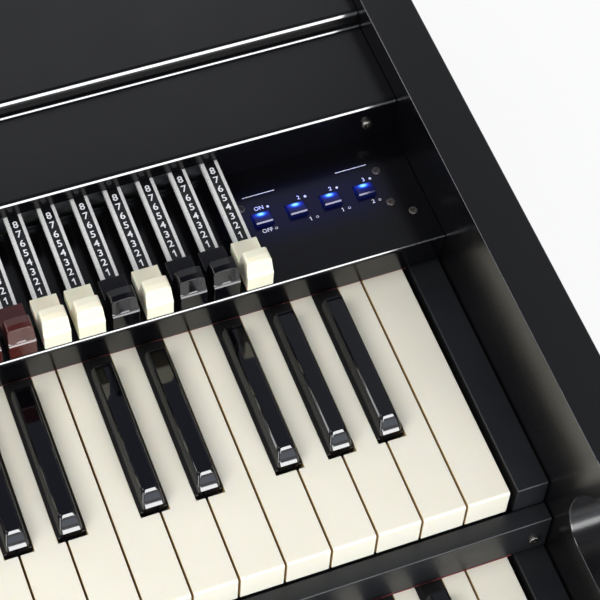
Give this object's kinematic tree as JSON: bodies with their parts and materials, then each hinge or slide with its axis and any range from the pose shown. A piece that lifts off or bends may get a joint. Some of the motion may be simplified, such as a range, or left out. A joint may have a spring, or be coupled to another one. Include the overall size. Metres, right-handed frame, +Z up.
{
  "type": "dual-manual organ",
  "caption": "Portable organ with stepped twin manuals, drawbars, lit percussion buttons, scrolled cheeks and a rear connector plate.",
  "frame": {"origin": "middle of the organ's footprint, at the underside of its feet", "axes": "+X to the player's right along the keys, +Y from the player to the rear, +Z up"},
  "size_m": [0.9388, 0.56, 0.1805],
  "materials": {
    "satin_black_lacquer": "satin black lacquer",
    "black_powder_coat": "semi-gloss black",
    "ivory_plastic": "polished ivory colour",
    "black_key_plastic": "gloss black",
    "cream_plastic": "satin cream",
    "brown_plastic": "gloss brown",
    "blue_button_plastic": "dark blue, lit from inside",
    "red_felt": "felt",
    "zinc_plated_steel": "zinc plated",
    "circuit_board": "green solder mask",
    "black_rubber": "matt",
    "black_knob_plastic": "satin black"
  },
  "bodies": {
    "case": {"baseboard": "satin_black_lacquer", "bed_board": "satin_black_lacquer", "front_key_slip": "satin_black_lacquer", "left_cheek": "satin_black_lacquer", "right_cheek": "satin_black_lacquer", "lid": "satin_black_lacquer", "shelf": "satin_black_lacquer", "rear_panel": "satin_black_lacquer", "upper_key_slip": "satin_black_lacquer", "upper_key_block_left": "satin_black_lacquer", "upper_key_block_right": "satin_black_lacquer", "lower_key_block_left": "satin_black_lacquer", "lower_key_block_right": "satin_black_lacquer", "control_panel": "black_powder_coat", "upper_key_bank": "ivory_plastic", "lower_key_bank": "ivory_plastic", "upper_felt_strip": "red_felt", "lower_felt_strip": "red_felt", "upper_key_chassis": "zinc_plated_steel", "lower_key_chassis": "zinc_plated_steel", "power_supply": "zinc_plated_steel", "connector_plate": "zinc_plated_steel", "main_board": "circuit_board", "button_board": "circuit_board", "drawbar_frame": "black_knob_plastic", "foot_front_left": "black_rubber", "foot_front_right": "black_rubber", "foot_rear_left": "black_rubber", "foot_rear_right": "black_rubber"},
    "upper_key_c5": {"upper_key_c5": "ivory_plastic"},
    "upper_key_c_sharp5": {"upper_key_c_sharp5": "black_key_plastic"},
    "upper_key_d5": {"upper_key_d5": "ivory_plastic"},
    "upper_key_d_sharp5": {"upper_key_d_sharp5": "black_key_plastic"},
    "upper_key_e5": {"upper_key_e5": "ivory_plastic"},
    "upper_key_f5": {"upper_key_f5": "ivory_plastic"},
    "upper_key_f_sharp5": {"upper_key_f_sharp5": "black_key_plastic"},
    "upper_key_g5": {"upper_key_g5": "ivory_plastic"},
    "upper_key_g_sharp5": {"upper_key_g_sharp5": "black_key_plastic"},
    "upper_key_a5": {"upper_key_a5": "ivory_plastic"},
    "upper_key_a_sharp5": {"upper_key_a_sharp5": "black_key_plastic"},
    "upper_key_b5": {"upper_key_b5": "ivory_plastic"},
    "upper_key_c6": {"upper_key_c6": "ivory_plastic"},
    "lower_key_a_sharp5": {"lower_key_a_sharp5": "black_key_plastic"},
    "lower_key_b5": {"lower_key_b5": "ivory_plastic"},
    "lower_key_c6": {"lower_key_c6": "ivory_plastic"},
    "drawbar_1": {"drawbar_1": "brown_plastic"},
    "drawbar_2": {"drawbar_2": "brown_plastic"},
    "drawbar_3": {"drawbar_3": "cream_plastic"},
    "drawbar_4": {"drawbar_4": "cream_plastic"},
    "drawbar_5": {"drawbar_5": "black_knob_plastic"},
    "drawbar_6": {"drawbar_6": "cream_plastic"},
    "drawbar_7": {"drawbar_7": "black_knob_plastic"},
    "drawbar_8": {"drawbar_8": "black_knob_plastic"},
    "drawbar_9": {"drawbar_9": "cream_plastic"},
    "percussion_button_1": {"percussion_button_1": "blue_button_plastic"},
    "percussion_button_2": {"percussion_button_2": "blue_button_plastic"},
    "percussion_button_3": {"percussion_button_3": "blue_button_plastic"},
    "percussion_button_4": {"percussion_button_4": "blue_button_plastic"},
    "volume_knob": {"volume_knob": "black_knob_plastic"},
    "power_switch": {"power_switch": "black_knob_plastic"}
  },
  "joints": [
    {"name": "upper_key_c5_hinge", "type": "hinge", "parent": "case", "child": "upper_key_c5", "pos_m": [0.24675, 0.08805, 0.1065], "axis": [1, 0, 0], "range_deg": [0, 2.9], "stiffness_Nm_per_rad": 1, "springref_deg": -8.59},
    {"name": "upper_key_c_sharp5_hinge", "type": "hinge", "parent": "case", "child": "upper_key_c_sharp5", "pos_m": [0.2561, 0.08805, 0.1065], "axis": [1, 0, 0], "range_deg": [0, 2.9], "stiffness_Nm_per_rad": 1, "springref_deg": -8.59},
    {"name": "upper_key_d5_hinge", "type": "hinge", "parent": "case", "child": "upper_key_d5", "pos_m": [0.27025, 0.08805, 0.1065], "axis": [1, 0, 0], "range_deg": [0, 2.9], "stiffness_Nm_per_rad": 1, "springref_deg": -8.59},
    {"name": "upper_key_d_sharp5_hinge", "type": "hinge", "parent": "case", "child": "upper_key_d_sharp5", "pos_m": [0.2842, 0.08805, 0.1065], "axis": [1, 0, 0], "range_deg": [0, 2.9], "stiffness_Nm_per_rad": 1, "springref_deg": -8.59},
    {"name": "upper_key_e5_hinge", "type": "hinge", "parent": "case", "child": "upper_key_e5", "pos_m": [0.29375, 0.08805, 0.1065], "axis": [1, 0, 0], "range_deg": [0, 2.9], "stiffness_Nm_per_rad": 1, "springref_deg": -8.59},
    {"name": "upper_key_f5_hinge", "type": "hinge", "parent": "case", "child": "upper_key_f5", "pos_m": [0.31725, 0.08805, 0.1065], "axis": [1, 0, 0], "range_deg": [0, 2.9], "stiffness_Nm_per_rad": 1, "springref_deg": -8.59},
    {"name": "upper_key_f_sharp5_hinge", "type": "hinge", "parent": "case", "child": "upper_key_f_sharp5", "pos_m": [0.3254, 0.08805, 0.1065], "axis": [1, 0, 0], "range_deg": [0, 2.9], "stiffness_Nm_per_rad": 1, "springref_deg": -8.59},
    {"name": "upper_key_g5_hinge", "type": "hinge", "parent": "case", "child": "upper_key_g5", "pos_m": [0.34075, 0.08805, 0.1065], "axis": [1, 0, 0], "range_deg": [0, 2.9], "stiffness_Nm_per_rad": 1, "springref_deg": -8.59},
    {"name": "upper_key_g_sharp5_hinge", "type": "hinge", "parent": "case", "child": "upper_key_g_sharp5", "pos_m": [0.3528, 0.08805, 0.1065], "axis": [1, 0, 0], "range_deg": [0, 2.9], "stiffness_Nm_per_rad": 1, "springref_deg": -8.59},
    {"name": "upper_key_a5_hinge", "type": "hinge", "parent": "case", "child": "upper_key_a5", "pos_m": [0.36425, 0.08805, 0.1065], "axis": [1, 0, 0], "range_deg": [0, 2.9], "stiffness_Nm_per_rad": 1, "springref_deg": -8.59},
    {"name": "upper_key_a_sharp5_hinge", "type": "hinge", "parent": "case", "child": "upper_key_a_sharp5", "pos_m": [0.3793, 0.08805, 0.1065], "axis": [1, 0, 0], "range_deg": [0, 2.9], "stiffness_Nm_per_rad": 1, "springref_deg": -8.59},
    {"name": "upper_key_b5_hinge", "type": "hinge", "parent": "case", "child": "upper_key_b5", "pos_m": [0.38775, 0.08805, 0.1065], "axis": [1, 0, 0], "range_deg": [0, 2.9], "stiffness_Nm_per_rad": 1, "springref_deg": -8.59},
    {"name": "upper_key_c6_hinge", "type": "hinge", "parent": "case", "child": "upper_key_c6", "pos_m": [0.41125, 0.08805, 0.1065], "axis": [1, 0, 0], "range_deg": [0, 2.9], "stiffness_Nm_per_rad": 1, "springref_deg": -8.59},
    {"name": "lower_key_a_sharp5_hinge", "type": "hinge", "parent": "case", "child": "lower_key_a_sharp5", "pos_m": [0.3793, -0.06235, 0.058], "axis": [1, 0, 0], "range_deg": [0, 2.9], "stiffness_Nm_per_rad": 1, "springref_deg": -8.59},
    {"name": "lower_key_b5_hinge", "type": "hinge", "parent": "case", "child": "lower_key_b5", "pos_m": [0.38775, -0.06235, 0.058], "axis": [1, 0, 0], "range_deg": [0, 2.9], "stiffness_Nm_per_rad": 1, "springref_deg": -8.59},
    {"name": "lower_key_c6_hinge", "type": "hinge", "parent": "case", "child": "lower_key_c6", "pos_m": [0.41125, -0.06235, 0.058], "axis": [1, 0, 0], "range_deg": [0, 2.9], "stiffness_Nm_per_rad": 1, "springref_deg": -8.59},
    {"name": "drawbar_1_slide", "type": "slide", "parent": "case", "child": "drawbar_1", "axis": [0, 1, 0], "range_m": [0, 0.0484]},
    {"name": "drawbar_2_slide", "type": "slide", "parent": "case", "child": "drawbar_2", "axis": [0, 1, 0], "range_m": [0, 0.0484]},
    {"name": "drawbar_3_slide", "type": "slide", "parent": "case", "child": "drawbar_3", "axis": [0, 1, 0], "range_m": [0, 0.0484]},
    {"name": "drawbar_4_slide", "type": "slide", "parent": "case", "child": "drawbar_4", "axis": [0, 1, 0], "range_m": [0, 0.0484]},
    {"name": "drawbar_5_slide", "type": "slide", "parent": "case", "child": "drawbar_5", "axis": [0, 1, 0], "range_m": [0, 0.0484]},
    {"name": "drawbar_6_slide", "type": "slide", "parent": "case", "child": "drawbar_6", "axis": [0, 1, 0], "range_m": [0, 0.0484]},
    {"name": "drawbar_7_slide", "type": "slide", "parent": "case", "child": "drawbar_7", "axis": [0, 1, 0], "range_m": [0, 0.0484]},
    {"name": "drawbar_8_slide", "type": "slide", "parent": "case", "child": "drawbar_8", "axis": [0, 1, 0], "range_m": [0, 0.0484]},
    {"name": "drawbar_9_slide", "type": "slide", "parent": "case", "child": "drawbar_9", "axis": [0, 1, 0], "range_m": [0, 0.0484]},
    {"name": "percussion_button_1_press", "type": "slide", "parent": "case", "child": "percussion_button_1", "axis": [0, 0, -1], "range_m": [0, 0.0012], "stiffness_N_per_m": 800, "springref_m": -0.001},
    {"name": "percussion_button_2_press", "type": "slide", "parent": "case", "child": "percussion_button_2", "axis": [0, 0, -1], "range_m": [0, 0.0012], "stiffness_N_per_m": 800, "springref_m": -0.001},
    {"name": "percussion_button_3_press", "type": "slide", "parent": "case", "child": "percussion_button_3", "axis": [0, 0, -1], "range_m": [0, 0.0012], "stiffness_N_per_m": 800, "springref_m": -0.001},
    {"name": "percussion_button_4_press", "type": "slide", "parent": "case", "child": "percussion_button_4", "axis": [0, 0, -1], "range_m": [0, 0.0012], "stiffness_N_per_m": 800, "springref_m": -0.001},
    {"name": "volume_turn", "type": "hinge", "parent": "case", "child": "volume_knob", "pos_m": [-0.387, 0.06705, 0.1365], "axis": [0, 0, -1], "range_deg": [-140, 140]},
    {"name": "power_switch_rock", "type": "hinge", "parent": "case", "child": "power_switch", "pos_m": [0.276, 0.2748, 0.075], "axis": [1, 0, 0], "range_deg": [0, 16]}
  ]
}
